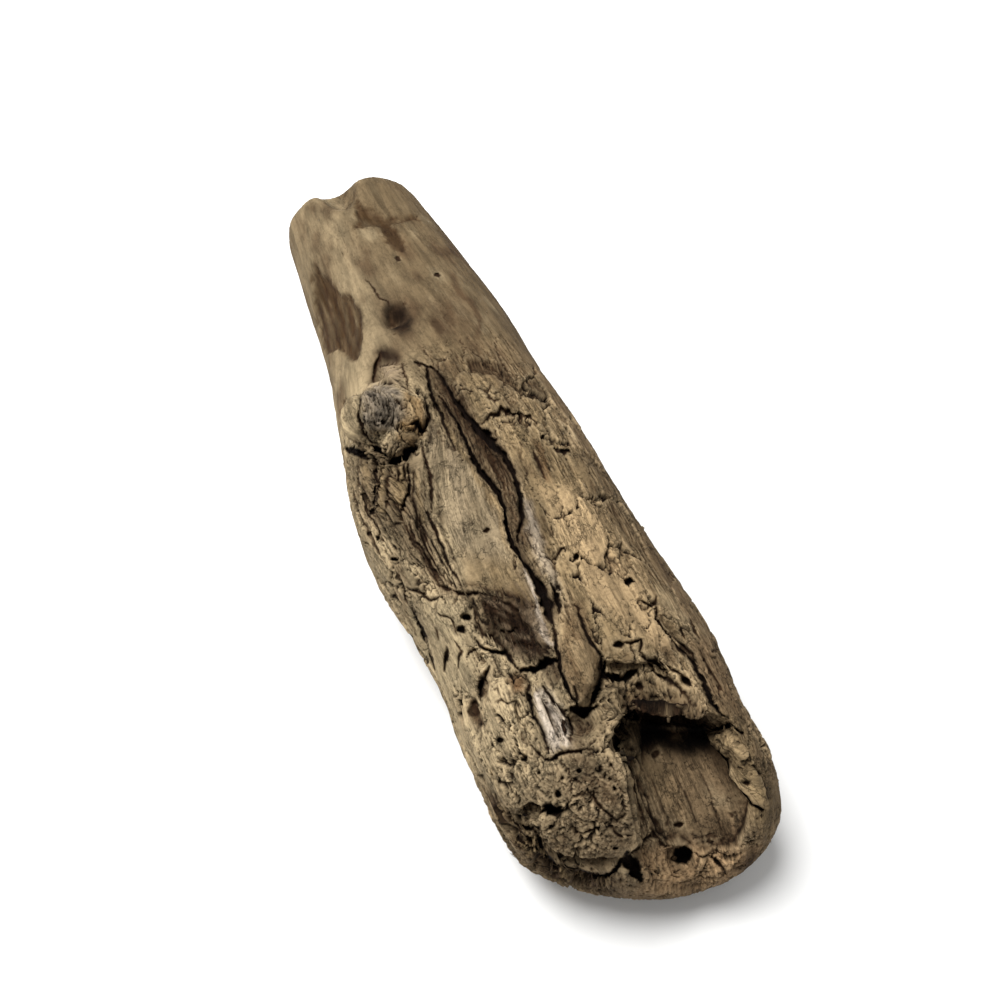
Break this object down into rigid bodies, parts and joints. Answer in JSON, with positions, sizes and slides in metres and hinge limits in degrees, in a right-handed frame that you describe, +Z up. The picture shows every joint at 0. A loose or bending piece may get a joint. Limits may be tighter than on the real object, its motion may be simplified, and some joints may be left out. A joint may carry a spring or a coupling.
{
  "type": "piece of driftwood",
  "caption": "Weathered log of driftwood with a rotted hollow end, a worn notched end, a broken branch stub and a long cracked scar; lies on its flattened underside.",
  "frame": {"origin": "on the surface that the log lies on, under the middle of its box", "axes": "+Y along the log from the hollow end to the worn notched end, +Z up, +X to the right seen from the hollow end"},
  "size_m": [0.0584, 0.202, 0.0486],
  "materials": {
    "weathered_wood": "dry, matt, sun-bleached and rot-stained bare wood"
  },
  "bodies": {
    "root": {"driftwood": "weathered_wood"}
  },
  "joints": []
}
